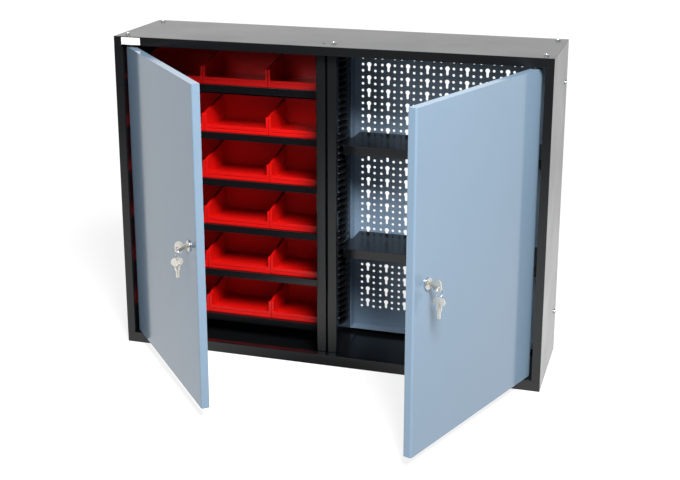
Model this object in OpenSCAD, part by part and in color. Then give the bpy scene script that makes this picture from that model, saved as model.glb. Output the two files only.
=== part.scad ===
// Wall tool cabinet of folded sheet steel with two hinged doors. The left bay holds six shelves
// of open bins, the right bay a perforated back and two shelves. X is the width, -Y the front.

/* [Cabinet] */
// Width over the side panels
cab_w = 800; // [640:10:1000]
// Height from the underside to the top sheet
cab_h = 600; // [600:10:800]
// Depth from the front faces to the rear
cab_d = 200; // [190:5:320]
// Thickness of the carcass and door sheet
sheet_t = 1; // [0.8:0.1:1.5]
// Gap between two sheets that are screwed together
sheet_gap = 0.1; // [0.05:0.05:0.3]
// Height of the folded front edge of the top panel
fascia_h = 16; // [14:1:30]
// Height of the folded front edge of the bottom panel
sill_h = 20; // [16:1:30]
// Depth of the lip behind both front edges, which holds the hinge pins
edge_lip = 14; // [12:1:16]
// Height of the rear edge of the top and bottom panels
rear_edge_h = 14; // [8:1:20]
// Width of the front flange of a side panel
post_w = 15; // [12:1:25]
// Depth of the return behind a post flange
post_return = 12; // [8:1:14]
// Width of the flanges that join the panels
join_w = 20; // [16:1:30]
// Gap between a post's return and the flanges behind it
post_gap = 2; // [1:0.5:4]

/* [Walls] */
// Distance of the inner flanges behind the front faces
recess = 16; // [16:0.5:30]
// Gap between the two middle walls
middle_gap = 3; // [1:0.5:6]
// Width of the front flange of a middle wall
middle_flange_w = 17.5; // [14:0.5:30]
// Width of the rear flange of a middle wall
middle_rear_w = 10; // [8:0.5:20]
// Width of the front flange of an outer lining
lining_flange_w = 13; // [8:0.5:14]
// Height step of the shelf supports in the right bay
support_step = 25; // [20:5:50]
// Distance of the support arms behind the front faces
support_front = 77; // [60:1:90]
// Length of a support arm
support_len = 63; // [40:1:80]
// How far a support stands out of its wall
support_out = 2; // [1.5:0.5:3]
// Thickness of a support arm
support_arm = 1.8; // [1.2:0.1:3]
// Height of one support loop
support_loop = 13; // [8:1:18]
// Height of the lowest support arm's top in both bays, at the least
support_low = 40; // [30:1:90]

/* [Back] */
// Distance of the back panels' sheet from the rear of the cabinet
back_in = 10; // [6:1:30]
// Depth of the forward fold around a back panel
back_fold = 24; // [12:1:30]
// Height of the back panels' lower fold above the floor sheet
back_raise = 8; // [2:1:20]
// Distance between the keyhole columns
key_pitch_x = 37.5; // [30:0.5:50]
// Distance between the keyhole rows
key_pitch_z = 25; // [24:0.5:50]
// Diameter of a keyhole's round end
key_head_d = 8.5; // [6:0.5:10]
// Width of a keyhole's slot
key_slot_w = 4.6; // [3:0.2:6]
// Height of a whole keyhole
key_hole_h = 17; // [14:0.5:20]
// Diameter of the small holes
dot_d = 5; // [3:0.5:6]
// Sideways distance of the small holes from a keyhole column
dot_off_x = 12; // [9:0.5:12]
// Drop of the second small hole below a keyhole row
dot_drop = 12; // [10:0.5:13]
// Distance of the first keyhole row below the top of the cabinet
key_top = 39; // [36:1:80]
// Distance of the last keyhole row above the underside, at the least
key_foot = 60; // [40:1:120]
// Distance of the first keyhole column from the middle wall
key_side = 29; // [24:1:60]
// Distance of the last keyhole column from the outer lining, at the least
key_outer = 50; // [24:1:80]
// Diameter of the holes for the wall screws
wall_hole_d = 8.5; // [5:0.5:9]
// Distance between the wall holes across the cabinet
wall_pitch_x = 700; // [500:10:720]
// Distance of the upper wall holes below the top
wall_hole_top = 27; // [20:1:30]
// Height of the lower wall holes
wall_hole_low = 33; // [26:1:36]

/* [Shelves] */
// Distance of the shelf fronts behind the front faces
shelf_front = 76; // [60:1:100]
// Height of a tool shelf's front edge
tool_edge_h = 17; // [10:1:30]
// Distance of the upper tool shelf below the top of the cabinet
tool_shelf_drop = 195; // [100:5:250]
// Distance between the tool shelves, in support steps
tool_shelf_steps = 8; // [4:1:10]
// Height of a bin shelf's front edge
bin_edge_h = 13; // [8:1:20]
// Depth of the return under a shelf edge
shelf_return = 8; // [4:1:14]
// Side gap between a shelf and a bay wall
shelf_gap = 0.3; // [0.2:0.1:0.5]

/* [Bins] */
// Height of the lowest bin's underside
bin_low = 46; // [40:1:70]
// Height of the cabinet above the highest bin row's space
bin_top_room = 5; // [2:1:30]
// Width of a bay that its three bins leave free at the outer wall
bin_side_room = 3.8; // [1:0.1:20]
// Gap between two bins
bin_gap = 1; // [0.6:0.1:3]
// Distance of the bins' front lips behind the front faces
bin_front = 84; // [80:1:100]
// Gap between a bin and the back panel
bin_rear_gap = 8; // [2:1:20]
// Height of a bin at its rear
bin_h = 51.5; // [45:0.5:60]
// Height of the side walls at the front
bin_shoulder_h = 33; // [25:0.5:40]
// Height of the front lip
bin_lip_h = 12.5; // [8:0.5:20]
// Thickness of the front lip
bin_lip_t = 4; // [3:0.5:6]
// Thickness of the bin walls and floor
bin_wall = 2; // [1.2:0.1:3]
// Width of the rib at the front of each side wall
bin_rib_w = 4.4; // [3:0.2:6]
// Depth of that rib
bin_rib_d = 6; // [3:0.5:10]
// Depth of the groove for a label strip in the lip
tag_in = 1.2; // [0.6:0.1:2]
// Height of that groove
tag_h = 2; // [1:0.5:4]
// Height of the groove's lower side above the bin's underside
tag_low = 4.5; // [2:0.5:5]
// Distance of its ends from the ribs
tag_end = 1; // [0.5:0.5:4]

/* [Doors] */
// Thickness of a closed door
door_t = 14; // [12:0.5:16]
// Gap between a door and its post
door_gap = 2.5; // [2:0.1:4]
// Gap between the closed doors
meeting_gap = 3; // [2:0.5:6]
// Gap below a door, which the lower washer fills
door_low_gap = 2; // [1.5:0.1:4]
// Gap above a door, which the upper washer fills
door_top_gap = 4; // [2:0.1:6]
// Diameter of a hinge washer
washer_d = 11; // [8:0.5:12]
// Running gap between a washer and its door
washer_gap = 0.15; // [0.1:0.05:0.3]
// Radius of a door's vertical edges
door_edge_r = 3; // [1:0.5:5]
// Width of the return around a door's rear
door_return = 12; // [8:1:20]
// Distance of the hinge axis from the door's edge
hinge_in = 15; // [12:0.5:16]
// Diameter of a hinge pin
pin_d = 5; // [4:0.5:6]
// Radial play of a pin in the door
pin_play = 0.05; // [0.02:0.01:0.1]
// Length of a pin beyond its lip and beyond its collar
pin_over = 3; // [2:0.5:5]
// Height of the plunged collar around a pin
collar_h = 4; // [2:0.5:6]
// Wall of that collar
collar_wall = 1.5; // [1:0.1:2]
// How far the left door stands open
left_open = 48.8; // [45:0.1:90]
// How far the right door stands open
right_open = 69.5; // [45:0.1:90]

/* [Locks] */
// Distance of a lock from the door's free edge
lock_in = 38; // [34:1:40]
// Diameter of the lock's face
lock_face_d = 19.5; // [17:0.5:22]
// Thickness of the lock's face
lock_face_t = 2.5; // [1.5:0.1:4]
// Diameter of the lock's barrel
barrel_d = 16; // [15:0.5:16]
// Diameter of the turning core
core_d = 12; // [10:0.5:13]
// Radial play of the core
core_play = 0.05; // [0.02:0.01:0.1]
// Width of the nut across its flats
nut_flats = 19; // [18:0.5:20]
// Thickness of the nut
nut_t = 3; // [2:0.5:4]
// Gap between the barrel and the cam
cam_gap = 0.4; // [0.3:0.1:1]
// Gap between two pieces that are screwed together on a lock
seat_gap = 0.05; // [0.02:0.01:0.1]
// Thickness of the cam
cam_t = 2; // [1.5:0.1:3]
// Width of the cam
cam_w = 12; // [8:0.5:13]
// Room around the cam in its slot
cam_room = 2; // [1:0.5:3]
// Reach of the cam from the lock's axis
cam_reach = 29; // [25:0.5:30]
// Diameter of the cam screw
cam_screw_d = 4; // [3:0.5:5]
// Head diameter of the cam screw
cam_screw_head_d = 7.5; // [6:0.5:9]
// Depth of the cam screw's bore in the core
cam_bore = 6; // [4:0.5:7]
// Head height of the cam screw
cam_screw_head_h = 2; // [1.5:0.1:2.5]

/* [Keys] */
// Thickness of a key
key_t = 2; // [1.5:0.1:2.2]
// Length of a key's bow along the key
bow_len = 14; // [12:0.5:16]
// Width of a key's bow
bow_w = 21; // [18:0.5:22]
// Length of the tapered neck
neck_len = 8.5; // [6:0.5:10]
// Width of the neck at the bow
neck_w = 9; // [6:0.5:10]
// Length of the blade
blade_len = 12.5; // [10:0.5:14]
// Width of the blade
blade_w = 5.5; // [4:0.5:7]
// Diameter of the hole in the bow
bow_hole_d = 3.6; // [3:0.2:4]
// Distance of that hole from the bow's outer end
bow_hole_in = 3; // [2.6:0.1:4]
// Gap between a key's blade and its slot
key_gap = 0.1; // [0.05:0.05:0.2]
// Width of a key's chamfered corners
key_chamfer = 1.5; // [0.5:0.1:1.8]
// Depth of the cuts in a blade's edges
cut_in = 0.8; // [0.4:0.1:1.2]
// Distance between those cuts
cut_step = 2.5; // [2.4:0.1:4]
// Mean diameter of a key ring
ring_d = 19; // [17:0.5:24]
// Diameter of the ring's wire
ring_wire = 1.4; // [1:0.1:1.6]
// Gap between the ring and a bow
ring_gap = 0.3; // [0.3:0.05:0.4]

/* [Fasteners] */
// Diameter of a bolt's shank
bolt_d = 5; // [4:0.5:6]
// Radial play of a bolt, pin or washer on its seat
seat_play = 0.1; // [0.05:0.05:0.2]
// Diameter of a bolt's head
bolt_head_d = 9.5; // [8:0.5:11]
// Height of a bolt's head
bolt_head_h = 2.8; // [2:0.2:4]
// Thickness of a nut
bolt_nut_t = 4; // [3:0.5:5]
// Length of bolt beyond its nut
bolt_over = 0.8; // [0.4:0.2:1]
// Width of a nut across its flats
bolt_nut_flats = 8; // [7:0.5:10]
// Distance of the corner bolts from the sides
bolt_in = 17; // [15:0.5:17]
// Distance of the front bolts behind the front faces
bolt_front = 24; // [22:1:30]
// Distance of the rear bolts from the rear of the cabinet
bolt_rear_in = 20; // [17:1:30]
// Sideways place of the middle bolt and of the free hole beside it
bolt_middle_x = 8.4; // [7:0.2:11]
// Distance of the middle bolt behind the front faces
bolt_middle = 37; // [34:1:60]
// Distance of the free hole behind the front faces
free_hole = 32; // [24:1:60]
// Height of the lower side bolts
side_bolt_low = 84; // [60:1:150]
// Distance of the upper side bolts below the top
side_bolt_top = 75; // [40:1:150]
// Width of the blank label
label_w = 37; // [20:1:60]
// Height of the blank label
label_h = 13; // [8:1:14]
// Thickness of the blank label
label_t = 0.4; // [0.2:0.1:1]

/* [Hidden] */
$fn = 48;

powder = [0.13, 0.13, 0.14];
blue = [0.60, 0.70, 0.79];
panel_blue = [0.38, 0.44, 0.54];
red = [0.85, 0.08, 0.08];
zinc = [0.78, 0.79, 0.80];
brass = [0.80, 0.70, 0.50];
white = [0.9, 0.9, 0.9];

half_w = cab_w / 2;
half_d = cab_d / 2;
front_y = -half_d;
eps = 0.01;

// Inner faces of the bays, as distances from the middle plane
outer_face = half_w - 2 * sheet_t - sheet_gap;
inner_face = middle_gap / 2 + sheet_t;
bay_w = outer_face - inner_face;
floor_z = sheet_t;
ceiling_z = cab_h - sheet_t;
wall_low = floor_z + sheet_gap;
wall_high = ceiling_z - sheet_gap;

// Depth d behind the front faces, as a Y place
function at(d) = front_y + d;

// A box from its low corner and its size
module slab(low, size) { translate(low) cube(size); }

// Places that follow the cabinet's height and depth
back_at = cab_d - back_in;
bolt_rear = cab_d - bolt_rear_in;
side_bolt_high = cab_h - side_bolt_top;
key_cols = floor((bay_w - key_side - key_outer) / key_pitch_x) + 1;
key_rows = floor((cab_h - key_top - key_foot) / key_pitch_z) + 1;

// Shelves and bins
bin_rows = 6;
columns = ["left", "middle", "right"];
bin_step_x = (bay_w - 2 * (support_out + shelf_gap) - bin_side_room) / len(columns);
bin_step_z = (cab_h - bin_low - bin_top_room) / bin_rows;
bin_d = back_at - bin_front - bin_rear_gap;
tool_shelf_z = cab_h - tool_shelf_drop;
shelf_depth = back_at - shelf_front - shelf_gap;
tool_shelf_low_z = tool_shelf_z - tool_shelf_steps * support_step;
bin_right_end = -(inner_face + support_out + shelf_gap);
function bin_row_z(row) = bin_low + (bin_rows - row) * bin_step_z;
bin_w = bin_step_x - bin_gap;

// Support arm tops: each shelf's underside rests on one
function right_supports() = [for (k = [-30:30])
    let (z = tool_shelf_z - sheet_t + k * support_step)
    if (z >= support_low && z <= cab_h - fascia_h - support_loop / 2) z];
bin_support_step = bin_step_z / 4;
function left_supports() = [for (k = [-30:30])
    let (z = bin_low - sheet_t + k * bin_support_step)
    if (z >= support_low && z <= cab_h - fascia_h - support_loop / 2) z];

// Doors and hinges
door_w = half_w - post_w - door_gap - meeting_gap / 2;
door_low = sill_h + door_low_gap;
door_high = cab_h - fascia_h - door_top_gap;
door_h = door_high - door_low;
hinge_x = half_w - post_w - door_gap - hinge_in;
hinge_y = at(door_t / 2);
lock_x = meeting_gap / 2 + lock_in;
lock_z = door_low + door_h / 2;
pin_hole_d = pin_d + 2 * pin_play;
pin_grip = collar_h + sheet_t + pin_over;

// Depths along a lock's axis, from the door's outer face inwards
barrel_len = recess + 2 * sheet_t - 0.4;
cam_at = barrel_len + cam_gap;
core_recess = 0.4;

// Keys: a key lies in the XY plane, its axis along +Y, its outer end at the bow
key_len = blade_len + neck_len + bow_len;
bow_hole_y = key_len - bow_hole_in;
cuts = floor((blade_len - key_chamfer) / cut_step) - 1;
hang = bow_hole_d / 2 - ring_wire / 2 - ring_gap;

corner_spots = [for (sx = [-1, 1], d = [bolt_front, bolt_rear]) [sx * (half_w - bolt_in), at(d)]];
top_spots = concat(corner_spots, [[bolt_middle_x, at(bolt_middle)]]);
bolt_hole_d = bolt_d + 2 * seat_play;

// Top panel: sheet, front fold with its lip, rear fold
module top_panel() {
    color(powder) difference() {
        union() {
            slab([-half_w, front_y, ceiling_z], [cab_w, cab_d, sheet_t]);
            slab([-half_w, front_y, cab_h - fascia_h], [cab_w, sheet_t, fascia_h]);
            slab([-half_w + sheet_t + sheet_gap, front_y, cab_h - fascia_h],
                [cab_w - 2 * (sheet_t + sheet_gap), edge_lip, sheet_t]);
            slab([-half_w + join_w + sheet_t, half_d - sheet_t, cab_h - rear_edge_h],
                [cab_w - 2 * (join_w + sheet_t), sheet_t, rear_edge_h]);
        }
        for (spot = top_spots) translate([spot[0], spot[1], ceiling_z - eps])
            cylinder(d = bolt_hole_d, h = sheet_t + 2 * eps);
        translate([-bolt_middle_x, at(free_hole), ceiling_z - eps])
            cylinder(d = bolt_hole_d, h = sheet_t + 2 * eps);
        for (sx = [-1, 1]) translate([sx * hinge_x, hinge_y, cab_h - fascia_h - eps])
            cylinder(d = pin_d + 2 * seat_play, h = sheet_t + 2 * eps);
    }
}

// Bottom panel: the same pan the other way up, with a higher front fold
module bottom_panel() {
    color(powder) difference() {
        union() {
            slab([-half_w, front_y, 0], [cab_w, cab_d, sheet_t]);
            slab([-half_w, front_y, 0], [cab_w, sheet_t, sill_h]);
            slab([-half_w + sheet_t + sheet_gap, front_y, sill_h - sheet_t],
                [cab_w - 2 * (sheet_t + sheet_gap), edge_lip, sheet_t]);
            slab([-half_w + join_w + sheet_t, half_d - sheet_t, 0],
                [cab_w - 2 * (join_w + sheet_t), sheet_t, rear_edge_h]);
        }
        for (spot = corner_spots) translate([spot[0], spot[1], -eps])
            cylinder(d = bolt_hole_d, h = sheet_t + 2 * eps);
        for (sx = [-1, 1]) translate([sx * hinge_x, hinge_y, sill_h - sheet_t - eps])
            cylinder(d = pin_d + 2 * seat_play, h = sheet_t + 2 * eps);
    }
}

// Side panel on the right: web, front post with its return, and joining flanges
module side_panel() {
    post_low = sill_h + sheet_gap;
    post_h = cab_h - fascia_h - sheet_gap - post_low;
    side_low = front_y + sheet_t + sheet_gap;
    color(powder) difference() {
        union() {
            slab([half_w - sheet_t, side_low, wall_low],
                [sheet_t, half_d - side_low, wall_high - wall_low]);
            slab([half_w - post_w, front_y, post_low], [post_w, sheet_t, post_h]);
            slab([half_w - sheet_t, front_y, post_low], [sheet_t, post_return, post_h]);
            slab([half_w - post_w, front_y, post_low], [sheet_t, post_return, post_h]);
            slab([half_w - join_w, half_d - sheet_t, wall_low],
                [join_w, sheet_t, wall_high - wall_low]);
            for (z = [wall_low, wall_high - sheet_t])
                slab([half_w - join_w, at(post_return + post_gap), z],
                    [join_w, cab_d - post_return - post_gap - sheet_t, sheet_t]);
        }
        for (d = [bolt_front, bolt_rear])
            for (z = [wall_low, wall_high - sheet_t])
                translate([half_w - bolt_in, at(d), z - eps])
                    cylinder(d = bolt_hole_d, h = sheet_t + 2 * eps);
        for (z = [side_bolt_low, side_bolt_high])
            translate([half_w - sheet_t - eps, at(bolt_rear), z]) rotate([0, 90, 0])
                cylinder(d = bolt_hole_d, h = sheet_t + 2 * eps);
    }
}
module left_side_panel() { mirror([1, 0, 0]) side_panel(); }
module right_side_panel() { side_panel(); }

// One support loop on a wall face at x = 0, standing out towards +X, its upper arm's top at z = 0
module support() {
    slab([0, at(support_front), -support_arm], [support_out, support_len, support_arm]);
    slab([0, at(support_front), -support_loop], [support_out, support_len, support_arm]);
    slab([0, at(support_front), -support_loop], [support_out, support_arm * 1.5, support_loop]);
}

// Outer lining of the right bay, inside the side panel
module lining(supports) {
    lining_low = wall_low + sheet_t + sheet_gap;
    lining_h = wall_high - sheet_t - sheet_gap - lining_low;
    lining_end = half_d - sheet_t - sheet_gap;
    color(powder) difference() {
        union() {
            slab([outer_face, at(recess), lining_low],
                [sheet_t, lining_end - at(recess), lining_h]);
            slab([outer_face + sheet_t - lining_flange_w, at(recess), lining_low],
                [lining_flange_w, sheet_t, lining_h]);
            for (z = supports) translate([outer_face, 0, z]) mirror([1, 0, 0]) support();
        }
        for (z = [side_bolt_low, side_bolt_high])
            translate([outer_face - eps, at(bolt_rear), z]) rotate([0, 90, 0])
                cylinder(d = bolt_hole_d, h = sheet_t + 2 * eps);
    }
}
module left_lining() { mirror([1, 0, 0]) lining(left_supports()); }
module right_lining() { lining(right_supports()); }

// Middle wall of the right bay, with the slot that lets the lock's cam in behind its flange
module middle_wall(supports, top_hole) {
    wall_end = half_d - sheet_t - sheet_gap;
    wall_h = wall_high - wall_low;
    color(powder) difference() {
        union() {
            slab([inner_face - sheet_t, at(recess), wall_low],
                [sheet_t, wall_end - at(recess), wall_h]);
            slab([inner_face - sheet_t, at(recess), wall_low],
                [middle_flange_w, sheet_t, wall_h]);
            slab([inner_face + middle_flange_w - 2 * sheet_t, at(recess), wall_low],
                [sheet_t, post_return, wall_h]);
            slab([inner_face - sheet_t, wall_end - sheet_t, wall_low],
                [middle_rear_w, sheet_t, wall_h]);
            for (z = [wall_low, wall_high - sheet_t])
                slab([inner_face - sheet_t, at(recess), z],
                    [middle_flange_w, wall_end - at(recess), sheet_t]);
            for (z = supports) translate([inner_face, 0, z]) support();
        }
        slab([inner_face + middle_flange_w - 2 * sheet_t - eps, at(recess) + sheet_t + eps,
            lock_z - cam_w / 2 - cam_room],
            [sheet_t + 2 * eps, post_return, cam_reach + cam_w / 2 + cam_room]);
        translate([bolt_middle_x, at(top_hole), wall_high - sheet_t - eps])
            cylinder(d = bolt_hole_d, h = sheet_t + 2 * eps);
    }
}
// The top panel's two holes between the bays aren't in line: each wall has its own
module left_middle_wall() { mirror([1, 0, 0]) middle_wall(left_supports(), free_hole); }
module right_middle_wall() { middle_wall(right_supports(), bolt_middle); }

// Back panel of the right bay: a sheet with a forward fold all round
back_low = floor_z + back_raise;
back_high = ceiling_z - back_raise;
module back_pan() {
    pan_w = bay_w - 2 * sheet_gap;
    pan_x = inner_face + sheet_gap;
    pan_h = back_high - back_low;
    difference() {
        slab([pan_x, at(back_at - back_fold), back_low], [pan_w, back_fold + sheet_t, pan_h]);
        slab([pan_x + sheet_t, at(back_at - back_fold) - eps, back_low + sheet_t],
            [pan_w - 2 * sheet_t, back_fold + eps, pan_h - 2 * sheet_t]);
        for (z = [side_bolt_low, side_bolt_high])
            translate([outer_face - 2 * sheet_t, at(bolt_rear), z]) rotate([0, 90, 0])
                cylinder(d = bolt_hole_d, h = 3 * sheet_t);
        for (z = [wall_hole_low, cab_h - wall_hole_top])
            translate([wall_pitch_x / 2, at(back_at) - eps, z]) rotate([-90, 0, 0])
                cylinder(d = wall_hole_d, h = sheet_t + 2 * eps);
    }
}
module left_back_panel() { color(panel_blue) mirror([1, 0, 0]) back_pan(); }

// One keyhole and its four small holes, in the XY plane
module keyhole() {
    slot_h = key_hole_h - key_head_d / 2 - key_slot_w / 2;
    circle(d = key_head_d);
    translate([-key_slot_w / 2, -slot_h]) square([key_slot_w, slot_h]);
    translate([0, -slot_h]) circle(d = key_slot_w);
}
module right_back_panel() {
    first_x = inner_face + key_side;
    color(panel_blue) difference() {
        back_pan();
        translate([0, at(back_at) + sheet_t + eps, 0]) rotate([90, 0, 0])
            linear_extrude(sheet_t + 2 * eps)
                for (col = [0:key_cols - 1], row = [0:key_rows - 1])
                    translate([first_x + col * key_pitch_x, cab_h - key_top - row * key_pitch_z]) {
                        keyhole();
                        for (sx = [-1, 1], drop = [0, dot_drop])
                            translate([sx * dot_off_x, -drop]) circle(d = dot_d);
                    }
    }
}

// Shelf of the right bay with its top at z = 0: sheet, folded edges, and ears on the supports
module shelf(edge_h) {
    x0 = inner_face + support_out + 2 * shelf_gap;
    w = bay_w - 2 * (support_out + 2 * shelf_gap);
    y0 = at(shelf_front);
    color(powder) {
        slab([x0, y0, -sheet_t], [w, shelf_depth, sheet_t]);
        slab([inner_face + shelf_gap, at(support_front), -sheet_t],
            [bay_w - 2 * shelf_gap, support_len, sheet_t]);
        slab([x0, y0, -edge_h], [w, sheet_t, edge_h]);
        slab([x0, y0, -edge_h], [w, shelf_return, sheet_t]);
        slab([x0, y0 + shelf_depth - sheet_t, -edge_h], [w, sheet_t, edge_h]);
        for (x = [x0, x0 + w - sheet_t]) slab([x, y0, -edge_h], [sheet_t, shelf_depth, edge_h]);
    }
}
module bin_shelf(row) {
    translate([0, 0, bin_row_z(row)]) mirror([1, 0, 0]) shelf(bin_edge_h);
}
module tool_shelf_1() { translate([0, 0, tool_shelf_z]) shelf(tool_edge_h); }
module tool_shelf_2() { translate([0, 0, tool_shelf_low_z]) shelf(tool_edge_h); }

// Open bin with a low front lip; column 0 is the left one
module bin(row, col) {
    x0 = bin_right_end - (3 - col) * bin_step_x + bin_gap / 2;
    y0 = at(bin_front);
    rib_x = [0, bin_w - bin_rib_w];
    color(red) translate([x0, y0, bin_row_z(row) + sheet_gap]) {
        cube([bin_w, bin_d, bin_wall]);
        slab([0, bin_d - bin_wall, 0], [bin_w, bin_wall, bin_h]);
        for (x = [0, bin_w - bin_wall]) translate([x, 0, 0]) rotate([90, 0, 90])
            linear_extrude(bin_wall)
                polygon([[0, 0], [bin_d, 0], [bin_d, bin_h], [0, bin_shoulder_h]]);
        for (x = rib_x) slab([x, 0, 0], [bin_rib_w, bin_rib_d, bin_shoulder_h]);
        difference() {
            cube([bin_w, bin_lip_t, bin_lip_h]);
            slab([bin_rib_w + tag_end, -eps, tag_low],
                [bin_w - 2 * (bin_rib_w + tag_end), tag_in, tag_h]);
        }
    }
}

// Bolts and nuts of the carcass, each with the underside of its head at z = 0
module bolt(len) {
    step = bolt_head_h * 0.6;
    translate([0, 0, -len]) cylinder(d = bolt_d, h = len + eps);
    cylinder(d = bolt_head_d, h = step);
    translate([0, 0, step - eps])
        cylinder(d = bolt_head_d * 0.72, h = bolt_head_h - step + eps);
}
module nut(grip) {
    translate([0, 0, -grip - bolt_nut_t]) difference() {
        cylinder(d = bolt_nut_flats / cos(30), h = bolt_nut_t, $fn = 6);
        translate([0, 0, -eps]) cylinder(d = bolt_hole_d, h = bolt_nut_t + 2 * eps);
    }
}
panel_grip = 2 * sheet_t + sheet_gap;
side_grip = 3 * sheet_t + 2 * sheet_gap;
module at_frame_bolts() {
    for (spot = top_spots) translate([spot[0], spot[1], cab_h]) children(0);
    for (sx = [-1, 1], z = [side_bolt_low, side_bolt_high])
        translate([sx * half_w, at(bolt_rear), z]) rotate([0, sx * 90, 0]) children(1);
}
// The bottom panel's bolts have their heads inside and end flush in its sheet
module frame_bolts() {
    color(zinc) {
        at_frame_bolts() {
            bolt(panel_grip + bolt_nut_t + bolt_over);
            bolt(side_grip + bolt_nut_t + bolt_over);
        }
        for (spot = corner_spots) translate([spot[0], spot[1], panel_grip]) bolt(panel_grip);
    }
}
module frame_nuts() { color(zinc) at_frame_bolts() { nut(panel_grip); nut(side_grip); } }

// Hinge pins, pressed into the lips above and below each door
module hinge_pins() {
    color(zinc) for (sx = [-1, 1]) translate([sx * hinge_x, hinge_y, 0]) {
        translate([0, 0, sill_h - sheet_t - pin_over])
            cylinder(d = pin_d, h = door_low + pin_grip - sill_h + sheet_t + pin_over);
        translate([0, 0, door_high - pin_grip])
            cylinder(d = pin_d, h = cab_h - fascia_h + sheet_t + pin_over - door_high + pin_grip);
    }
}
module hinge_washers() {
    color(white) for (sx = [-1, 1]) translate([sx * hinge_x, hinge_y, 0]) {
        for (span = [[sill_h + sheet_gap, door_low - washer_gap],
            [door_high + washer_gap, cab_h - fascia_h - sheet_gap]])
            translate([0, 0, span[0]]) difference() {
                cylinder(d = washer_d, h = span[1] - span[0]);
                translate([0, 0, -eps])
                    cylinder(d = pin_d + 2 * seat_play, h = span[1] - span[0] + 2 * eps);
            }
    }
}

// Blank label on the left end of the fascia
module label_plate() {
    color(white) slab([-half_w + post_w, front_y - label_t,
        cab_h - (fascia_h + label_h) / 2],
        [label_w, label_t, label_h]);
}

// Closed right door: its outer face at the front plane, hinge side on the right
module rounded_plan(w, d, r) {
    translate([r, 0]) square([w - 2 * r, d]);
    translate([0, r]) square([w, d - r]);
    for (x = [r, w - r]) translate([x, r]) circle(r = r);
}
module door_pan() {
    left_x = meeting_gap / 2;
    inner_r = door_edge_r - sheet_t;
    difference() {
        union() {
            translate([left_x, front_y, door_low]) linear_extrude(door_h) difference() {
                rounded_plan(door_w, door_t, door_edge_r);
                translate([sheet_t, sheet_t]) rounded_plan(door_w - 2 * sheet_t,
                    door_t - 2 * sheet_t, inner_r);
            }
            for (z = [door_low, door_high - sheet_t]) translate([left_x, front_y, z])
                linear_extrude(sheet_t) rounded_plan(door_w, door_t, door_edge_r);
            for (z = [door_low, door_high - collar_h - sheet_t])
                translate([hinge_x, hinge_y, z]) cylinder(d = pin_hole_d + 2 * collar_wall,
                    h = collar_h + sheet_t);
        }
        slab([left_x + door_return, front_y + door_t - 2 * sheet_t, door_low + door_return],
            [door_w - 2 * door_return, 3 * sheet_t, door_h - 2 * door_return]);
        for (z = [door_low, door_high - collar_h - sheet_t])
            translate([hinge_x, hinge_y, z - eps])
                cylinder(d = pin_hole_d, h = collar_h + sheet_t + 2 * eps);
        translate([lock_x, front_y - eps, lock_z]) rotate([-90, 0, 0])
            cylinder(d = barrel_d, h = sheet_t + 2 * eps);
    }
}

// Places a piece of the closed right door on the right or left door as it stands open
module on_door(side) {
    angle = side > 0 ? right_open : left_open;
    translate([side * hinge_x, hinge_y, 0]) rotate([0, 0, side * angle])
        translate([-side * hinge_x, -hinge_y, 0])
            mirror([side > 0 ? 0 : 1, 0, 0]) children();
}
// Moves a piece from the lock's own frame, Z out of the door, X up, to the closed right door
module at_lock() {
    translate([lock_x, front_y, lock_z]) rotate([90, -90, 0]) children();
}
module door_panel(side) { color(blue) on_door(side) door_pan(); }

// Lock barrel with its face on the door, open for the core
module lock_barrel(side) {
    color(zinc) on_door(side) at_lock() difference() {
        union() {
            translate([0, 0, seat_gap]) cylinder(d = lock_face_d, h = lock_face_t - seat_gap);
            translate([0, 0, -barrel_len])
                cylinder(d = barrel_d - 2 * seat_gap, h = barrel_len + lock_face_t / 2);
        }
        translate([0, 0, -barrel_len - eps])
            cylinder(d = core_d + 2 * core_play, h = barrel_len + lock_face_t + 2 * eps);
    }
}
module lock_nut(side) {
    color(zinc) on_door(side) at_lock() translate([0, 0, -sheet_t - nut_t - seat_gap]) difference() {
        cylinder(d = nut_flats / cos(30), h = nut_t, $fn = 6);
        translate([0, 0, -eps]) cylinder(d = barrel_d, h = nut_t + 2 * eps);
    }
}
// Turning core, with the slot that holds the key and the bore for the cam screw
module lock_core(side) {
    slot_depth = blade_len + key_gap;
    color(brass) on_door(side) at_lock() difference() {
        translate([0, 0, -barrel_len - cam_gap])
            cylinder(d = core_d, h = barrel_len + cam_gap + lock_face_t - core_recess);
        slab([-blade_w / 2 - key_gap, -key_t / 2 - key_gap, lock_face_t - core_recess - slot_depth],
            [blade_w + 2 * key_gap, key_t + 2 * key_gap, slot_depth + 1]);
        translate([0, 0, -cam_at - eps]) cylinder(d = cam_screw_d, h = cam_bore);
    }
}
// Cam plate on the core's inner end, upright while the door is unlocked
module lock_cam(side) {
    color(zinc) on_door(side) at_lock() translate([0, 0, -cam_at - cam_t]) difference() {
        union() {
            cylinder(d = cam_w, h = cam_t - seat_gap);
            translate([0, -cam_w / 2, 0]) cube([cam_reach - cam_w / 2, cam_w, cam_t - seat_gap]);
            translate([cam_reach - cam_w / 2, 0, 0]) cylinder(d = cam_w, h = cam_t - seat_gap);
        }
        translate([0, 0, -eps]) cylinder(d = cam_screw_d + 2 * seat_gap, h = cam_t + 2 * eps);
    }
}
module cam_screw(side) {
    color(zinc) on_door(side) at_lock() translate([0, 0, -cam_at - cam_t]) {
        translate([0, 0, -cam_screw_head_h]) cylinder(d = cam_screw_head_d, h = cam_screw_head_h);
        translate([0, 0, -eps])
            cylinder(d = cam_screw_d - seat_gap, h = cam_t + cam_bore - 1);
    }
}

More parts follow.
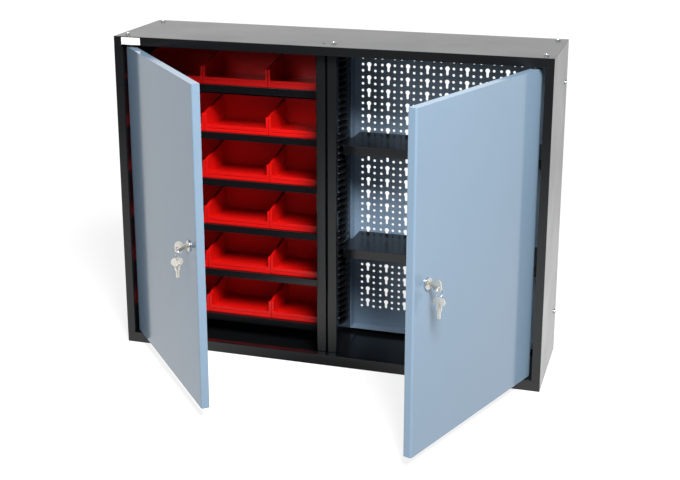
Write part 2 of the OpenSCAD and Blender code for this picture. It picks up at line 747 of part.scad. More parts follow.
// A flat key in the XZ plane of the lock's frame: its tip at z = 0, its bow at the outer end
module key_shape() {
    side_r = bow_len / 2;
    bow_y = blade_len + neck_len + side_r;
    translate([0, key_t / 2, 0]) rotate([90, 0, 0]) linear_extrude(key_t) difference() {
        union() {
            for (s = [-1, 1]) translate([s * (bow_w / 2 - side_r), bow_y]) circle(r = side_r);
            translate([-bow_w / 2 + side_r, bow_y - side_r]) square([bow_w - 2 * side_r, bow_len]);
            for (s = [0, 1]) mirror([s, 0]) polygon([[-eps, 0], [blade_w / 2 - key_chamfer, 0],
                [blade_w / 2, key_chamfer], [blade_w / 2, blade_len],
                [neck_w / 2, blade_len + key_chamfer], [neck_w / 2, bow_y], [-eps, bow_y]]);
        }
        translate([0, bow_hole_y]) circle(d = bow_hole_d);
        for (s = [-1, 1], i = [1:cuts])
            translate([s * blade_w / 2, key_chamfer + i * cut_step])
                rotate(45) square(cut_in * sqrt(2), center = true);
    }
}
key_tip_z = lock_face_t - core_recess - blade_len;
ring_hook_z = key_tip_z + bow_hole_y;
module key(side) {
    color(brass) on_door(side) at_lock() translate([0, 0, key_tip_z]) key_shape();
}
// The ring hangs in the bow's hole; the spare key hangs in the ring
module key_ring(side) {
    color(zinc) on_door(side) at_lock() translate([-hang - ring_d / 2, 0, ring_hook_z])
        rotate_extrude() translate([ring_d / 2, 0]) circle(d = ring_wire);
}
spare_hole_x = -2 * hang - ring_d;
module spare_key(side) {
    color(brass) on_door(side) at_lock() translate([spare_hole_x, 0, ring_hook_z])
        rotate([0, 90, 0]) translate([0, 0, -bow_hole_y]) key_shape();
}

top_panel();
bottom_panel();
left_side_panel();
right_side_panel();
left_lining();
right_lining();
left_middle_wall();
right_middle_wall();
left_back_panel();
right_back_panel();
for (row = [1:bin_rows]) bin_shelf(row);
tool_shelf_1();
tool_shelf_2();
frame_bolts();
frame_nuts();
hinge_pins();
hinge_washers();
label_plate();
door_panel(-1);  // left_door_panel
lock_barrel(-1);  // left_lock_barrel
lock_nut(-1);  // left_lock_nut
lock_core(-1);  // left_lock_core
lock_cam(-1);  // left_lock_cam
cam_screw(-1);  // left_cam_screw
key(-1);  // left_key
key_ring(-1);  // left_key_ring
spare_key(-1);  // left_spare_key
door_panel(1);  // right_door_panel
lock_barrel(1);  // right_lock_barrel
lock_nut(1);  // right_lock_nut
lock_core(1);  // right_lock_core
lock_cam(1);  // right_lock_cam
cam_screw(1);  // right_cam_screw
key(1);  // right_key
key_ring(1);  // right_key_ring
spare_key(1);  // right_spare_key
for (row = [1:bin_rows], col = [0:2])
    bin(row, col);
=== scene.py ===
# Wall tool cabinet of folded sheet steel with two doors. The carcass is powder coated black, the
# doors and the backs are blue, and red bins stand on the shelves of the left bay.
import math

import bmesh
import bpy
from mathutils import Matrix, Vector


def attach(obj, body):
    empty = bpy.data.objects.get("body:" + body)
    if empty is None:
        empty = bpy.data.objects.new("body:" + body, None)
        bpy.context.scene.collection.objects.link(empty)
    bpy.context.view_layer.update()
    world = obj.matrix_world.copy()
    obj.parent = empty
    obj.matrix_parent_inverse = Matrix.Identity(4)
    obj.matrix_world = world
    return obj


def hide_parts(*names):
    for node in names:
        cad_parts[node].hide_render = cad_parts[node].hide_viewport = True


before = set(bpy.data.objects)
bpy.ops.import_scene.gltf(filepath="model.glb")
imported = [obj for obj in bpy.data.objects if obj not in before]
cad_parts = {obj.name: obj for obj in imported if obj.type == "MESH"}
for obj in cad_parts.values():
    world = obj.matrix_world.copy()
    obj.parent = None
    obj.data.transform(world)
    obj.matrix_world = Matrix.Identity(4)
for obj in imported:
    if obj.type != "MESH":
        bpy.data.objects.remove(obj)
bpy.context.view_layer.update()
MM = 0.001

# Camera: a moderate lens in front of the right half, a little above the cabinet, with a small
# downward shift so that the upright edges stay nearly parallel.
camera_data = bpy.data.cameras.new("camera")
camera_data.sensor_width = 36
camera_data.lens = 65.84
camera_data.shift_y = -0.1029
camera_turn, camera_tilt = math.radians(16.559), math.radians(15.622)
camera = bpy.data.objects.new("camera", camera_data)
camera.location = (0.6367, -2.1384, 0.975)
camera.rotation_euler = Vector((
    -math.sin(camera_turn) * math.cos(camera_tilt),
    math.cos(camera_turn) * math.cos(camera_tilt),
    -math.sin(camera_tilt))).to_track_quat("-Z", "Y").to_euler()
bpy.context.scene.collection.objects.link(camera)
bpy.context.scene.camera = camera
bpy.context.scene.view_settings.view_transform = "Standard"


def add_node(tree, kind, settings=None, **inputs):
    """Adds a node. settings are its own fields; inputs are values, or sockets to link from."""
    node = tree.nodes.new(kind)
    for key, value in (settings or {}).items():
        setattr(node, key, value)
    for key, value in inputs.items():
        socket = node.inputs[int(key[1:])] if key[0] == "_" and key[1:].isdigit() else \
            node.inputs[key.replace("_", " ")]
        if isinstance(value, bpy.types.NodeSocket):
            tree.links.new(value, socket)
        else:
            socket.default_value = value
    return node


def linear(hex_colour):
    """An sRGB hex colour as linear red, green, blue and alpha."""
    parts = [int(hex_colour[i:i + 2], 16) / 255 for i in (1, 3, 5)]
    return [p / 12.92 if p <= 0.04045 else ((p + 0.055) / 1.055) ** 2.4 for p in parts] + [1]


# White studio: a soft room that is white where it is seen or mirrored, dimmer overhead and in
# front, where the photographer stands. A lamp stands at the upper right front, a weak one at the
# left.
world = bpy.data.worlds.new("white_studio")
bpy.context.scene.world = world
world.use_nodes = True
tree = world.node_tree
tree.nodes.clear()
path = add_node(tree, "ShaderNodeLightPath")
glossy = path.outputs["Is Glossy Ray"]
seen = add_node(tree, "ShaderNodeMath", {"operation": "MAXIMUM"},
                _0=path.outputs["Is Camera Ray"], _1=path.outputs["Is Transmission Ray"])
direction = add_node(tree, "ShaderNodeTexCoord").outputs["Generated"]
toward = add_node(tree, "ShaderNodeSeparateXYZ", _0=direction)
front_dim = add_node(tree, "ShaderNodeMapRange", Value=toward.outputs["Y"], From_Min=-0.9,
                     From_Max=-0.2, To_Min=0.25, To_Max=1.0)
ceiling_dim = add_node(tree, "ShaderNodeMapRange", Value=toward.outputs["Z"], From_Min=0.5,
                       From_Max=0.9, To_Min=1.0, To_Max=0.3)
both_dim = add_node(tree, "ShaderNodeMath", {"operation": "MULTIPLY"},
                    _0=front_dim.outputs["Result"], _1=ceiling_dim.outputs["Result"])
room_light, full_white = 0.21, 1.0
mirrored = add_node(tree, "ShaderNodeMix", {"data_type": "FLOAT"}, _0=glossy, _2=room_light,
                    _3=both_dim.outputs[0]).outputs[0]
level = add_node(tree, "ShaderNodeMix", {"data_type": "FLOAT"}, _0=seen.outputs[0], _2=mirrored,
                 _3=full_white).outputs[0]
room = add_node(tree, "ShaderNodeBackground", Color=(1, 1, 1, 1), Strength=level)
add_node(tree, "ShaderNodeOutputWorld", Surface=room.outputs[0])

cabinet_middle = Vector((0, 0, 0.3))
for name, spot, wide, high, power in (("key_lamp", (1.05, -1.75, 2.35), 0.9, 1.0, 143),
                                      ("fill_lamp", (-0.8, -2.4, 1.5), 0.8, 0.8, 15)):
    lamp_data = bpy.data.lights.new(name, "AREA")
    lamp_data.shape, lamp_data.size, lamp_data.size_y = "RECTANGLE", wide, high
    lamp_data.energy = power
    lamp = bpy.data.objects.new(name, lamp_data)
    lamp.location = spot
    aim = cabinet_middle - lamp.location
    lamp.rotation_euler = aim.to_track_quat("-Z", "Y").to_euler()
    bpy.context.scene.collection.objects.link(lamp)

# Floor: a pale sheet that shows white and keeps a faint shadow. Mirrored in the cabinet it shows a
# painted pool of light up to 1.3 times white at the right side and a painted contact shadow right
# under the cabinet, and it fades towards the dark front of the room.
bpy.ops.mesh.primitive_plane_add(size=30, location=(0, 0, 0))
floor = bpy.context.object
floor.name = "floor"
pale = bpy.data.materials.new("pale_studio_floor")
pale.use_nodes = True
tree = pale.node_tree
tree.nodes.clear()
path = add_node(tree, "ShaderNodeLightPath")
ground = add_node(tree, "ShaderNodeTexCoord").outputs["Object"]
away = add_node(tree, "ShaderNodeVectorMath", {"operation": "LENGTH"}, _0=ground)
beside = add_node(tree, "ShaderNodeVectorMath", {"operation": "DISTANCE"}, _0=ground,
                  _1=(0.45, 0.25, 0))
# Painted pool of light, seen only in reflections: up to 1.3 times white beside and behind the
# right end.
painted_light_beside = add_node(tree, "ShaderNodeMapRange", Value=beside.outputs["Value"], From_Min=0.1,
                From_Max=1.3, To_Min=1.3, To_Max=1.0)
# Painted contact shadow, seen only in reflections: the glow drops to a fifth right under the
# cabinet.
painted_foot_shadow = add_node(tree, "ShaderNodeMapRange", Value=away.outputs["Value"], From_Min=0.12,
                 From_Max=0.3, To_Min=0.2, To_Max=1.0)
ahead = add_node(tree, "ShaderNodeMapRange", Value=add_node(
    tree, "ShaderNodeSeparateXYZ", _0=ground).outputs["Y"], From_Min=-1.9, From_Max=-0.9,
    To_Min=0.1, To_Max=1.0)
faded = add_node(tree, "ShaderNodeMath", {"operation": "MULTIPLY"},
                 _0=painted_light_beside.outputs["Result"], _1=ahead.outputs["Result"])
faded = add_node(tree, "ShaderNodeMath", {"operation": "MULTIPLY"},
                 _0=faded.outputs[0], _1=painted_foot_shadow.outputs["Result"])
mirrored = add_node(tree, "ShaderNodeMath", {"operation": "MULTIPLY"}, _0=faded.outputs[0],
                    _1=path.outputs["Is Glossy Ray"])
white = add_node(tree, "ShaderNodeMapRange", Value=away.outputs["Value"], From_Min=1.0,
                 From_Max=3.5, To_Min=0.80, To_Max=0.95)
lift = add_node(tree, "ShaderNodeMath", {"operation": "MULTIPLY_ADD"},
                _0=path.outputs["Is Camera Ray"], _1=white.outputs["Result"],
                _2=mirrored.outputs[0])
glow = add_node(tree, "ShaderNodeEmission", Color=(1, 1, 1, 1), Strength=lift.outputs[0])
floor_grey = 0.34
lit = add_node(tree, "ShaderNodeMath", {"operation": "MULTIPLY_ADD"},
               _0=path.outputs["Is Glossy Ray"], _1=-floor_grey, _2=floor_grey)
paint = add_node(tree, "ShaderNodeBsdfDiffuse", Color=lit.outputs[0])
both = add_node(tree, "ShaderNodeAddShader", _0=glow.outputs[0], _1=paint.outputs[0])
add_node(tree, "ShaderNodeOutputMaterial", Surface=both.outputs[0])
floor.data.materials.append(pale)

# Dark card close behind the perforated back, a painted dark reflection. Only mirrored rays meet
# it, so the shelves' tops don't mirror the white room through the holes, while the camera still
# sees white in them. It passes only the shortest rays, so from behind that back looks darker than
# the plain one.
passed = 0.016
bpy.ops.mesh.primitive_plane_add(size=1, location=(0.2, 0.104, 0.3))
card = bpy.context.object
card.name = "dark_card"
card.scale = (0.38, 0.56, 1)
card.rotation_euler.x = math.radians(90)
dark = bpy.data.materials.new("dark_grey_card")
dark.use_nodes = True
tree = dark.node_tree
skin = tree.nodes["Principled BSDF"]
skin.inputs["Base Color"].default_value = linear("#3A3D42")
skin.inputs["Roughness"].default_value = 0.9
far = add_node(tree, "ShaderNodeMath", {"operation": "GREATER_THAN"},
               _0=add_node(tree, "ShaderNodeLightPath").outputs["Ray Length"], _1=passed)
clear = add_node(tree, "ShaderNodeBsdfTransparent")
mixed = add_node(tree, "ShaderNodeMixShader", _0=far.outputs[0], _1=clear.outputs[0],
                 _2=skin.outputs[0])
tree.links.new(mixed.outputs[0], tree.nodes["Material Output"].inputs["Surface"])
card.data.materials.append(dark)
card.visible_camera = card.visible_diffuse = card.visible_shadow = False
card.visible_transmission = card.visible_volume_scatter = False

# Top and bottom panels: steel sheets with a folded front edge, a lip behind it that takes the
# hinge pins, and a rear fold. Their corners are notched and meet open, as bent sheet does.
# Black powder coat gives a semi-gloss skin with a fine orange peel and slow changes of gloss.


def clouded(name, tones, drift, rough, detail=3.0, peel=None, **fixed):
    """A finish whose tone and roughness drift over the surface in soft clouds.

    tones are one or two hex colours, drift and detail the scale and detail of the clouds, rough
    is one roughness or the two that it drifts between, peel is the scale and strength of a fine
    relief, and fixed are inputs that are the same all over."""
    made = bpy.data.materials.new(name)
    made.use_nodes = True
    tree = made.node_tree
    skin = tree.nodes["Principled BSDF"]
    place = add_node(tree, "ShaderNodeTexCoord").outputs["Object"]
    cloud = add_node(tree, "ShaderNodeTexNoise", Vector=place, Scale=drift, Detail=detail)
    if len(tones) == 2:
        tone = add_node(tree, "ShaderNodeMix", {"data_type": "RGBA"}, _0=cloud.outputs["Fac"],
                        _6=linear(tones[0]), _7=linear(tones[1]))
        tree.links.new(tone.outputs[2], skin.inputs["Base Color"])
    else:
        skin.inputs["Base Color"].default_value = linear(tones[0])
    if isinstance(rough, tuple):
        shine = add_node(tree, "ShaderNodeMapRange", Value=cloud.outputs["Fac"], From_Min=0.3,
                         From_Max=0.7, To_Min=rough[0], To_Max=rough[1])
        tree.links.new(shine.outputs["Result"], skin.inputs["Roughness"])
    else:
        skin.inputs["Roughness"].default_value = rough
    if peel:
        bumps = add_node(tree, "ShaderNodeTexNoise", Vector=place, Scale=peel[0], Detail=2.0)
        relief = add_node(tree, "ShaderNodeBump", Height=bumps.outputs["Fac"],
                          Strength=peel[1], Distance=0.00003)
        tree.links.new(relief.outputs[0], skin.inputs["Normal"])
    for key, value in fixed.items():
        skin.inputs[key].default_value = value
    return made


powder_black = clouded("black_semi_gloss_powder_coat", ("#0F1012",), 9.0, (0.20, 0.25),
                       peel=(620.0, 0.6), IOR=1.5)


def show(obj, body, material, slot, *nodes):
    """Puts a finished piece on its body in place of its CAD nodes."""
    if obj.name not in bpy.context.scene.collection.objects:
        bpy.context.scene.collection.objects.link(obj)
    obj.data.materials.clear()
    obj.data.materials.append(material)
    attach(obj, body)
    if nodes:
        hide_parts(*nodes)


def plain_mesh(bm, name, angle=32):
    """A mesh object from bm, smooth up to the given angle, with flat faces kept flat."""
    for face in bm.faces:
        face.smooth = True
    mesh = bpy.data.meshes.new(name)
    bm.to_mesh(mesh)
    bm.free()
    mesh.set_sharp_from_angle(angle=math.radians(angle))
    obj = bpy.data.objects.new(name, mesh)
    weighted = obj.modifiers.new("flat_faces", "WEIGHTED_NORMAL")
    weighted.keep_sharp = True
    return obj


def merged(node):
    """A closed copy of a CAD node's mesh, with its flat faces joined."""
    bm = bmesh.new()
    bm.from_mesh(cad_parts[node].data)
    bmesh.ops.remove_doubles(bm, verts=bm.verts, dist=2e-6)
    bmesh.ops.dissolve_limit(bm, angle_limit=math.radians(0.5), verts=bm.verts, edges=bm.edges)
    return bm


def reach(face, edge):
    """How far a face reaches from one of its edges."""
    a, b = edge.verts[0].co, edge.verts[1].co
    along = (b - a).normalized()
    return max(((v.co - a) - along * (v.co - a).dot(along)).length for v in face.verts)


def folded(node, outer=1.6, inner=0.6, cut=0.25, ear=0):
    """A CAD node of square-cornered sheet with real bend radii and eased cut edges, in mm.

    ear sets the side folds of a shelf's pan that much further in, so that its ears widen."""
    bm = merged(node)
    below_ears, fold_wide, shortest, cut_wide = 3 * MM, 1.5 * MM, 4 * MM, 2.2 * MM
    if ear:
        top = max(v.co.z for v in bm.verts)
        low = [v.co.x for v in bm.verts if v.co.z < top - below_ears]
        for end, way in ((min(low), 1), (max(low), -1)):
            for v in [v for v in bm.verts if abs(v.co.x - end) < fold_wide]:
                v.co.x += way * ear * MM
    # A bend joins two faces wider than the sheet's cut edge. All edges used are near 90 degrees.
    for radius, convex, at_bend in ((outer, True, True), (inner, False, True),
                                    (cut, True, False)):
        edges = []
        for edge in bm.edges:
            if len(edge.link_faces) != 2 or edge.calc_length() < shortest:
                continue
            bend = edge.calc_face_angle_signed(0)
            if (bend > 0) != convex or not 1.2 < abs(bend) < 1.9:
                continue
            if (min(reach(face, edge) for face in edge.link_faces) > cut_wide) == at_bend:
                edges.append(edge)
        bmesh.ops.bevel(bm, geom=edges, offset=radius * MM, offset_type="OFFSET",
                        segments=3 if at_bend else 1, profile=0.5, affect="EDGES",
                        clamp_overlap=True)
    bmesh.ops.remove_doubles(bm, verts=bm.verts, dist=1e-6)
    return plain_mesh(bm, node + "_sheet")


for node in ("top_panel", "bottom_panel"):
    show(folded(node), "carcass", powder_black, "powder_black", node)

# Side panels: one sheet each, folded into the front post with its return and into the flanges
# that are screwed to the top and bottom panels.
for node in ("left_side_panel", "right_side_panel"):
    show(folded(node), "carcass", powder_black, "powder_black", node)

# Walls of the bays: linings beside the side panels and two middle walls. Each is one sheet, bent
# along its front and rear edges, so its plan is a path that is drawn up over its height.


def bent(bm, path, low, high, bend=1.2, sheet=1.0):
    """Adds a sheet that follows path, its middle line in plan, between two heights, in mm."""
    line = []
    for i, point in enumerate(path):
        here = Vector(point)
        if i in (0, len(path) - 1):
            line.append(here)
            continue
        back = (Vector(path[i - 1]) - here).normalized()
        on = (Vector(path[i + 1]) - here).normalized()
        centre = here + (back + on) * bend
        for k in range(5):
            turn = math.radians(90) * k / 4
            line.append(centre - on * bend * math.cos(turn) - back * bend * math.sin(turn))
    rings = []
    for i, point in enumerate(line):
        before, after = line[max(i - 1, 0)], line[min(i + 1, len(line) - 1)]
        along = (after - before).normalized()
        aside = Vector((-along.y, along.x)) * sheet / 2
        rings.append([bm.verts.new(Vector((q.x, q.y, z)) * MM)
                      for q, z in ((point + aside, low), (point - aside, low),
                                   (point - aside, high), (point + aside, high))])
    for one, two in zip(rings, rings[1:]):
        for k in range(4):
            bm.faces.new((one[k], one[(k + 1) % 4], two[(k + 1) % 4], two[k]))
    bm.faces.new(rings[0][::-1])
    bm.faces.new(rings[-1])


def tree_with(name, **inputs):
    """An empty Geometry Nodes tree with named inputs. Gives the tree, its inputs and its end."""
    made = bpy.data.node_groups.new(name, "GeometryNodeTree")
    made.interface.new_socket("Geometry", in_out="INPUT", socket_type="NodeSocketGeometry")
    for key, kind in inputs.items():
        made.interface.new_socket(key.replace("_", " "), in_out="INPUT",
                                  socket_type="NodeSocket" + kind)
    made.interface.new_socket("Geometry", in_out="OUTPUT", socket_type="NodeSocketGeometry")
    return made, made.nodes.new("NodeGroupInput").outputs, made.nodes.new("NodeGroupOutput")


def grown(name, made, mesh, **values):
    """A plain mesh object that the tree grows on a mesh with these input values."""
    host = bpy.data.objects.new(name + "_host", mesh)
    bpy.context.scene.collection.objects.link(host)
    growth = host.modifiers.new("growth", "NODES")
    growth.node_group = made
    for item in made.interface.items_tree:
        key = item.name.replace(" ", "_")
        if item.in_out == "INPUT" and key in values:
            growth[item.identifier] = values[key]
    graph = bpy.context.evaluated_depsgraph_get()
    plain = bpy.data.meshes.new_from_object(host.evaluated_get(graph))
    bpy.data.objects.remove(host)
    plain.name = name
    return bpy.data.objects.new(name, plain)


# The supports are louvres pressed out of the wall at an even step: long domes with a flat back.
# The shelves' ears lie on them. Those of the right bay stand out further.
louvres, given, end = tree_with("pressed_louvres", Length="Float", Height="Float", Out="Float",
                                Turn="Vector", Count="Int", Step="Float", First="Vector",
                                Finish="Material")
ball = add_node(louvres, "GeometryNodeMeshUVSphere", Segments=24, Rings=8, Radius=1.0)
at = add_node(louvres, "ShaderNodeSeparateXYZ",
              _0=add_node(louvres, "GeometryNodeInputPosition").outputs[0])
bulging = add_node(louvres, "ShaderNodeMath", {"operation": "MAXIMUM"}, _0=at.outputs["X"],
                   _1=0.0)
sizes = []
for axis, size, share in (("X", "Out", 1.0), ("Y", "Length", 0.5), ("Z", "Height", 0.5)):
    start = bulging.outputs[0] if axis == "X" else at.outputs[axis]
    scaled = add_node(louvres, "ShaderNodeMath", {"operation": "MULTIPLY"}, _0=start,
                      _1=given[size])
    sizes.append(add_node(louvres, "ShaderNodeMath", {"operation": "MULTIPLY"},
                          _0=scaled.outputs[0], _1=share).outputs[0])
dome = add_node(louvres, "GeometryNodeSetPosition", Geometry=ball.outputs[0], Position=add_node(
    louvres, "ShaderNodeCombineXYZ", _0=sizes[0], _1=sizes[1], _2=sizes[2]).outputs[0])
lift = add_node(louvres, "ShaderNodeCombineXYZ", Z=given["Step"])
stack = add_node(louvres, "GeometryNodeMeshLine", Count=given["Count"],
                 Start_Location=given["First"], Offset=lift.outputs[0])
faced = add_node(louvres, "FunctionNodeEulerToRotation", Euler=given["Turn"])
repeat = add_node(louvres, "GeometryNodeInstanceOnPoints", Points=stack.outputs[0],
                  Instance=dome.outputs[0], Rotation=faced.outputs[0])
real = add_node(louvres, "GeometryNodeRealizeInstances", Geometry=repeat.outputs[0])
smooth = add_node(louvres, "GeometryNodeSetShadeSmooth", Geometry=real.outputs[0])
coat = add_node(louvres, "GeometryNodeSetMaterial", Geometry=smooth.outputs[0],
                Material=given["Finish"])
louvres.links.new(coat.outputs[0], end.inputs[0])
wall_front = -83.5
slot_low, slot_high = 293, 330
tab_mid, tab_wide, tab_front, tab_rear = 10.75, 16.4, -82.8, 97.8
louvre_long, louvre_high, louvre_mid = 62, 7, 8.5
lining_plan = ((385.9, wall_front), (398.4, wall_front), (398.4, 98.9))
middle_plan = ((18.5, -72), (18.5, wall_front), (2, wall_front), (2, 98.4), (11.5, 98.4))
for side, sign in (("left", -1), ("right", 1)):
    count, step, first, out = (24, 22.875, 45, 2.6) if side == "left" else (42, 12.5, 54, 11)
    for wall, plan, low, high, face in (("lining", lining_plan, 2.2, 597.8, 397.9),
                                        ("middle_wall", middle_plan, 1.1, 598.9, 2.5)):
        bm = bmesh.new()
        line = [(sign * x, y) for x, y in plan]
        if wall == "lining":
            bent(bm, line, low, high)
        else:
            # The return of the front flange is open over the slot that takes the lock's cam.
            bent(bm, line, low, slot_low)
            bent(bm, line[1:], slot_low, slot_high)
            bent(bm, line, slot_high, high)
            for z in (low, high - 1):
                bent(bm, ((sign * tab_mid, tab_front), (sign * tab_mid, tab_rear)), z, z + 1,
                     sheet=tab_wide)
        bmesh.ops.recalc_face_normals(bm, faces=bm.faces)
        node = f"{side}_{wall}"
        show(plain_mesh(bm, node + "_sheet"), "carcass", powder_black, "powder_black", node)
        inward = -1 if wall == "lining" else 1
        supports = grown(node + "_supports", louvres, bpy.data.meshes.new("none"),
                         Length=louvre_long * MM, Height=louvre_high * MM, Out=out * MM,
                         Turn=(0, 0, 0 if sign * inward > 0 else math.pi), Count=count,
                         Step=step * MM, First=(sign * face * MM, louvre_mid * MM,
                                                (first - louvre_high / 2) * MM),
                         Finish=powder_black)
        show(supports, "carcass", powder_black, "powder_black", node)

# Back panels: sheets with a forward fold all round, the right one punched with keyholes and
# small holes for tool hooks. Their powder coat gives blue-grey with a fine dark speckle, matt
# and slightly rough to the eye.
powder_blue = bpy.data.materials.new("blue_grey_textured_powder_coat")
powder_blue.use_nodes = True
tree = powder_blue.node_tree
skin = tree.nodes["Principled BSDF"]
place = add_node(tree, "ShaderNodeTexCoord").outputs["Object"]
grain = add_node(tree, "ShaderNodeTexNoise", Vector=place, Scale=900.0, Detail=1.0)
speck = add_node(tree, "ShaderNodeMapRange", Value=grain.outputs["Fac"], From_Min=0.40,
                 From_Max=0.62)
tone = add_node(tree, "ShaderNodeMix", {"data_type": "RGBA"}, _0=speck.outputs["Result"],
                _6=linear("#6C8298"), _7=linear("#8BA1B7"))
tree.links.new(tone.outputs[2], skin.inputs["Base Color"])
relief = add_node(tree, "ShaderNodeBump", Height=grain.outputs["Fac"], Strength=0.7,
                  Distance=0.0001)
tree.links.new(relief.outputs[0], skin.inputs["Normal"])
skin.inputs["Roughness"].default_value = 0.42


def dress(material, *nodes):
    """Gives CAD nodes whose shape is right their finish."""
    for node in nodes:
        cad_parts[node].data.materials.clear()
        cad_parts[node].data.materials.append(material)


dress(powder_blue, "left_back_panel", "right_back_panel")

# Shelves: shallow folded pans with ears that lie on the supports. The two deeper ones are
# narrower, with wide ears.
for node in [f"bin_shelf_{row}" for row in range(1, 7)]:
    show(folded(node), "carcass", powder_black, "powder_black", node)
for node in ("tool_shelf_1", "tool_shelf_2"):
    show(folded(node, ear=9), "carcass", powder_black, "powder_black", node)

# Bins: open trays of moulded red polypropylene with rounded edges, a low front lip and a rib at
# the front of each side wall. The plastic gives an even, deep red with a soft mould gloss.
moulded_red = clouded("red_moulded_polypropylene", ("#D90E0A", "#DD110C"), 60.0, (0.30, 0.36),
                      IOR=1.49)


def softened(node, radius, name, segments=2, angle=40):
    """A CAD node's mesh with every sharp edge rounded, in millimetres."""
    bm = merged(node)
    edges = [e for e in bm.edges if len(e.link_faces) == 2
             and e.calc_face_angle(0) > math.radians(angle)]
    bmesh.ops.bevel(bm, geom=edges, offset=radius * MM, offset_type="OFFSET",
                    segments=segments, profile=0.5, affect="EDGES", clamp_overlap=True)
    bmesh.ops.remove_doubles(bm, verts=bm.verts, dist=1e-6)
    return plain_mesh(bm, name)


for row in range(1, 7):
    for column in ("left", "middle", "right"):
        node = f"bin_{row}_{column}"
        show(softened(node, 0.5, node + "_tray"), node + "_slide", moulded_red, "bin_red", node)

# Doors: pans of sheet steel with rounded upright edges and a return around the open rear.
# Satin blue paint gives a pale, even blue, smooth enough to mirror the dark posts at the hinges.
satin_blue = clouded("blue_satin_paint", ("#7A91A6", "#8097AC"), 7.0, (0.12, 0.15),
                     peel=(420.0, 0.5))
for side in ("left", "right"):
    node = side + "_door_panel"
    show(folded(node, outer=1.2, inner=0.4), side + "_door", satin_blue, "door_blue", node)

# Hinges: zinc-plated pins in the lips above and below each door, with nylon washers that carry
# the door's weight. Zinc gives a cool, slightly cloudy metal, nylon a dull black.
bright_zinc = clouded("bright_zinc_plating", ("#B9BCBE", "#D2D4D5"), 500.0, (0.2, 0.36),
                      Metallic=1.0)
nylon = clouded("black_moulded_nylon", ("#161718", "#1E1F21"), 300.0, 0.5, detail=2.0)
dress(bright_zinc, "hinge_pins")
dress(nylon, "hinge_washers")

# Bolts: pan heads with a round-bottomed drive recess and a shank, zinc plated. One tree sets a
# head and a shank on each point along that point's own direction.
bolt_tree, given, end = tree_with("carcass_bolts", Head="Float", Rise="Float", Shank="Float",
                                  Finish="Material")
out = add_node(bolt_tree, "GeometryNodeInputNamedAttribute", {"data_type": "FLOAT_VECTOR"},
               Name="out")
length = add_node(bolt_tree, "GeometryNodeInputNamedAttribute", {"data_type": "FLOAT"},
                  Name="length")
turn = add_node(bolt_tree, "FunctionNodeAlignRotationToVector", {"axis": "Z"},
                Vector=out.outputs[0])
disc = add_node(bolt_tree, "GeometryNodeMeshCylinder", {"fill_type": "TRIANGLE_FAN"},
                Vertices=32, Side_Segments=1, Fill_Segments=6, Radius=given["Head"],
                Depth=given["Rise"])
spot = add_node(bolt_tree, "GeometryNodeInputPosition")
flat = add_node(bolt_tree, "ShaderNodeVectorMath", {"operation": "MULTIPLY"},
                _0=spot.outputs[0], _1=(1, 1, 0))
away = add_node(bolt_tree, "ShaderNodeVectorMath", {"operation": "LENGTH"}, _0=flat.outputs[0])
share = add_node(bolt_tree, "ShaderNodeMath", {"operation": "DIVIDE"}, _0=away.outputs["Value"],
                 _1=given["Head"])
dome_power, rim_drop, recess_wide, recess_deep = 3, 0.55, 0.4, 0.6
bulge = add_node(bolt_tree, "ShaderNodeMath", {"operation": "POWER"}, _0=share.outputs[0],
                 _1=dome_power)
recess = add_node(bolt_tree, "ShaderNodeMath", {"operation": "LESS_THAN"}, _0=share.outputs[0],
                  _1=recess_wide)
dip = add_node(bolt_tree, "ShaderNodeMath", {"operation": "MULTIPLY_ADD"}, _0=bulge.outputs[0],
               _1=rim_drop, _2=recess.outputs[0])
drop = add_node(bolt_tree, "ShaderNodeMath", {"operation": "MULTIPLY"}, _0=dip.outputs[0],
                _1=given["Rise"])
down = add_node(bolt_tree, "ShaderNodeMath", {"operation": "MULTIPLY"}, _0=drop.outputs[0],
                _1=-recess_deep)
sink = add_node(bolt_tree, "ShaderNodeCombineXYZ", Z=down.outputs[0])
head = add_node(bolt_tree, "GeometryNodeSetPosition", Geometry=disc.outputs["Mesh"],
                Selection=disc.outputs["Top"], Offset=sink.outputs[0])
half = add_node(bolt_tree, "ShaderNodeMath", {"operation": "MULTIPLY"}, _0=given["Rise"], _1=0.5)
seat = add_node(bolt_tree, "ShaderNodeCombineXYZ", Z=half.outputs[0])
seated = add_node(bolt_tree, "GeometryNodeTransform", Geometry=head.outputs[0],
                  Translation=seat.outputs[0])
rod = add_node(bolt_tree, "GeometryNodeMeshCylinder", {"fill_type": "NGON"}, Vertices=24,
               Radius=given["Shank"], Depth=1.0)
hung = add_node(bolt_tree, "GeometryNodeTransform", Geometry=rod.outputs["Mesh"],
                Translation=(0, 0, -0.5))
size = add_node(bolt_tree, "ShaderNodeCombineXYZ", X=1.0, Y=1.0, Z=length.outputs[0])
heads = add_node(bolt_tree, "GeometryNodeInstanceOnPoints", Points=given["Geometry"],
                 Instance=seated.outputs[0], Rotation=turn.outputs[0])
shanks = add_node(bolt_tree, "GeometryNodeInstanceOnPoints", Points=given["Geometry"],
                  Instance=hung.outputs[0], Rotation=turn.outputs[0], Scale=size.outputs[0])
both = add_node(bolt_tree, "GeometryNodeJoinGeometry", Geometry=heads.outputs[0])
bolt_tree.links.new(shanks.outputs[0], both.inputs[0])
real = add_node(bolt_tree, "GeometryNodeRealizeInstances", Geometry=both.outputs[0])
plated = add_node(bolt_tree, "GeometryNodeSetMaterial", Geometry=real.outputs[0],
                  Material=given["Finish"])
bolt_tree.links.new(plated.outputs[0], end.inputs[0])
top, half_width, bolt_x, bolt_front, bolt_rear = 600, 400, 383, -76, 80
top_shank, bottom_shank, side_shank = 6.9, 2.1, 8.0
corners = [(x, y) for x in (-bolt_x, bolt_x) for y in (bolt_front, bolt_rear)]
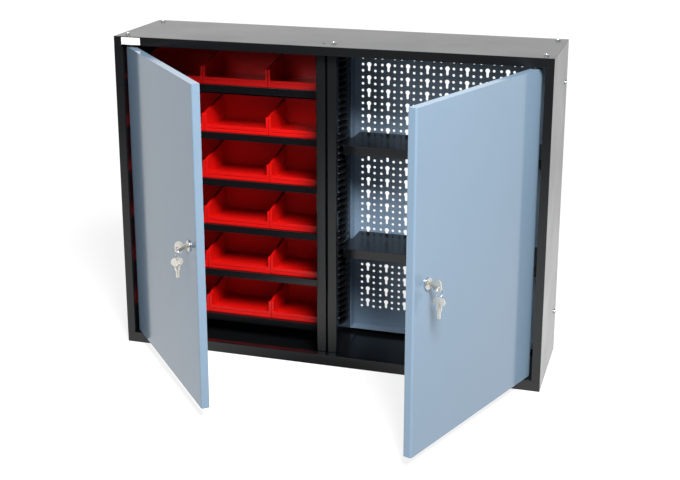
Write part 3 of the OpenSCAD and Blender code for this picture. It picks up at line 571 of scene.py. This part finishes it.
spots = [((x, y, top), (0, 0, 1), top_shank) for x, y in corners + [(8.4, -63)]]
spots += [((x, y, bottom_shank), (0, 0, 1), bottom_shank) for x, y in corners]
spots += [((sign * half_width, bolt_rear, z), (sign, 0, 0), side_shank)
          for sign in (-1, 1) for z in (84, 525)]
points = bpy.data.meshes.new("bolt_places")
points.from_pydata([[c * MM for c in place] for place, _, _ in spots], [], [])
points.attributes.new("out", "FLOAT_VECTOR", "POINT").data.foreach_set(
    "vector", [c for _, way, _ in spots for c in way])
points.attributes.new("length", "FLOAT", "POINT").data.foreach_set(
    "value", [reach_in * MM for _, _, reach_in in spots])
bolts = grown("carcass_bolts", bolt_tree, points, Head=4.75 * MM, Rise=2.8 * MM, Shank=2.5 * MM,
              Finish=bright_zinc)
bolts.data.set_sharp_from_angle(angle=math.radians(35))
show(bolts, "carcass", bright_zinc, "zinc", "frame_bolts")
dress(bright_zinc, "frame_nuts")

# Locks: a turned barrel held by a nut behind the door, a core with its cam and screw, a key in the
# core, and a spare key on a ring. Barrel, nut, cam, screw and ring are zinc plated. Core and keys
# are nickel-plated brass, which gives a warm, pale metal with a soft shine.
nickel_brass = clouded("nickel_plated_brass", ("#E6E1D6", "#F3F0E8"), 350.0, 0.40, Metallic=1.0)
for side in ("left", "right"):
    for part, body, radius in (("lock_barrel", "door", 0.5), ("lock_nut", "door", 0.3),
                               ("lock_cam", "lock", 0.3), ("cam_screw", "lock", 0.4)):
        node = f"{side}_{part}"
        show(softened(node, radius, node + "_turned"), f"{side}_{body}", bright_zinc, "zinc",
             node)
    for part, body in (("lock_core", "lock"), ("key", "lock"), ("spare_key", "loose_key")):
        node = f"{side}_{part}"
        show(softened(node, 0.3, node + "_milled"), f"{side}_{body}", nickel_brass,
             "nickel_brass", node)
    dress(bright_zinc, side + "_key_ring")

# Label: a blank white sticker at the left end of the top fold. Its paper gives a plain, slightly
# uneven white with a low gloss.
paper = clouded("white_label_paper", ("#E6E7E8", "#F2F2F2"), 200.0, 0.35)
dress(paper, "label_plate")
